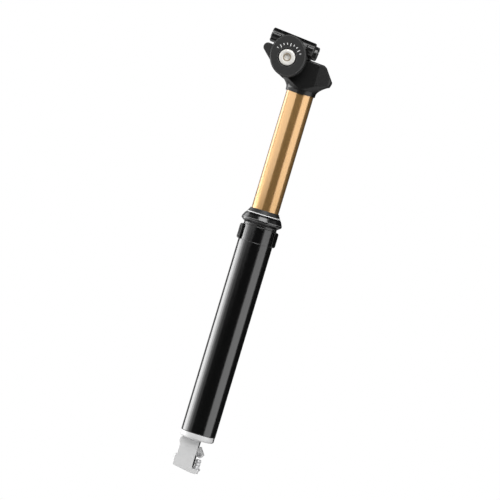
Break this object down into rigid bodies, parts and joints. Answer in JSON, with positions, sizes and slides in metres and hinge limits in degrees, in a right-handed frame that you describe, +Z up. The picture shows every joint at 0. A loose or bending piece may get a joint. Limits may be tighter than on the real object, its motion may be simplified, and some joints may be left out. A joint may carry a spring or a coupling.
{
  "type": "dropper seatpost",
  "caption": "Cable-operated dropper seatpost with a sliding gold stanchion, an internal gas cartridge and a side-bolt saddle rail clamp.",
  "frame": {"origin": "on the post's axis, at the lower end of the outer tube", "axes": "+Z up along the post, +X to the front of the bicycle (the head's nose), +Y to the bicycle's left, so the clamp bolt's head is on the -Y side"},
  "size_m": [0.0647, 0.0682, 0.4008],
  "materials": {
    "tube_black": "gloss black anodised",
    "collar_black": "satin black anodised",
    "wiper_rubber": "matt black",
    "seal_rubber": "matt black",
    "bushing_plastic": "matt",
    "spacer_plastic": "matt",
    "stanchion_gold": "polished gold anodised",
    "head_black": "satin black",
    "plug_black": "matt",
    "key_brass": "machined",
    "cartridge_alloy": "machined",
    "piston_alloy": "machined",
    "shaft_steel": "polished",
    "valve_steel": "turned",
    "spring_steel": "drawn wire",
    "actuator_silver": "satin silver",
    "lever_silver": "satin silver",
    "pin_steel": "ground",
    "screw_steel": "dark",
    "barrel_steel": "knurled",
    "clamp_black": "satin black",
    "clamp_face_black": "fine matt black",
    "washer_steel": "blackened",
    "bolt_silver": "polished"
  },
  "bodies": {
    "outer_post": {"outer_tube": "tube_black", "collar": "collar_black", "collar_o_ring": "seal_rubber", "dust_wiper": "wiper_rubber", "upper_bushing": "bushing_plastic", "top_out_spacer": "spacer_plastic", "bottom_out_bumper": "seal_rubber", "cartridge_outer_tube": "cartridge_alloy", "cartridge_inner_tube": "cartridge_alloy", "cartridge_head": "cartridge_alloy", "shaft_seal": "seal_rubber", "cartridge_foot": "cartridge_alloy", "actuator_housing": "actuator_silver", "lever_pin": "pin_steel", "cable_stop_barrel": "barrel_steel", "valve_spring": "spring_steel"},
    "sliding_post": {"stanchion": "stanchion_gold", "lower_bushing": "bushing_plastic", "guide_key_1": "key_brass", "guide_key_2": "key_brass", "guide_key_3": "key_brass", "head": "head_black", "head_plug": "plug_black", "cartridge_shaft": "shaft_steel", "shaft_nut": "shaft_steel", "main_piston": "piston_alloy", "main_piston_seal": "seal_rubber"},
    "oil_separator": {"floating_piston": "piston_alloy", "floating_piston_seal": "seal_rubber"},
    "release": {"release_lever": "lever_silver", "cable_pinch_screw": "screw_steel"},
    "valve": {"valve_plunger": "valve_steel"},
    "rail_cradle": {"inner_clamp_right": "clamp_black", "inner_clamp_left": "clamp_black"},
    "right_clamp": {"outer_clamp_right": "clamp_face_black", "clamp_bolt": "bolt_silver", "bolt_washer": "washer_steel"},
    "left_clamp": {"outer_clamp_left": "clamp_face_black", "clamp_nut": "bolt_silver", "nut_washer": "washer_steel"}
  },
  "joints": [
    {"name": "drop", "type": "slide", "parent": "outer_post", "child": "sliding_post", "axis": [0, 0, 1], "range_m": [-0.1, 0], "stiffness_N_per_m": 150, "springref_m": 0.06},
    {"name": "oil_displacement", "type": "slide", "parent": "outer_post", "child": "oil_separator", "axis": [0, 0, 1], "range_m": [0, 0.066]},
    {"name": "lever_pull", "type": "hinge", "parent": "outer_post", "child": "release", "pos_m": [0.0034, 0, -0.0163], "axis": [0, 1, 0], "range_deg": [0, 20], "stiffness_Nm_per_rad": 0.01, "springref_deg": -5.73},
    {"name": "valve_lift", "type": "slide", "parent": "outer_post", "child": "valve", "axis": [0, 0, 1], "range_m": [0, 0.00118], "deforming": ["valve_spring"]},
    {"name": "saddle_tilt", "type": "hinge", "parent": "sliding_post", "child": "rail_cradle", "pos_m": [-0.0174, 0, 0.343], "axis": [0, 1, 0], "range_deg": [-15, 15]},
    {"name": "right_clamp_open", "type": "slide", "parent": "rail_cradle", "child": "right_clamp", "axis": [0, -1, 0], "range_m": [0, 0.0065]},
    {"name": "left_clamp_open", "type": "slide", "parent": "rail_cradle", "child": "left_clamp", "axis": [0, 1, 0], "range_m": [0, 0.0065]}
  ],
  "couplings": [
    {"joint": "oil_displacement", "follows": "drop", "ratio": -0.6586},
    {"joint": "lever_pull", "follows": "valve_lift", "rad_per_m": 294.12}
  ]
}
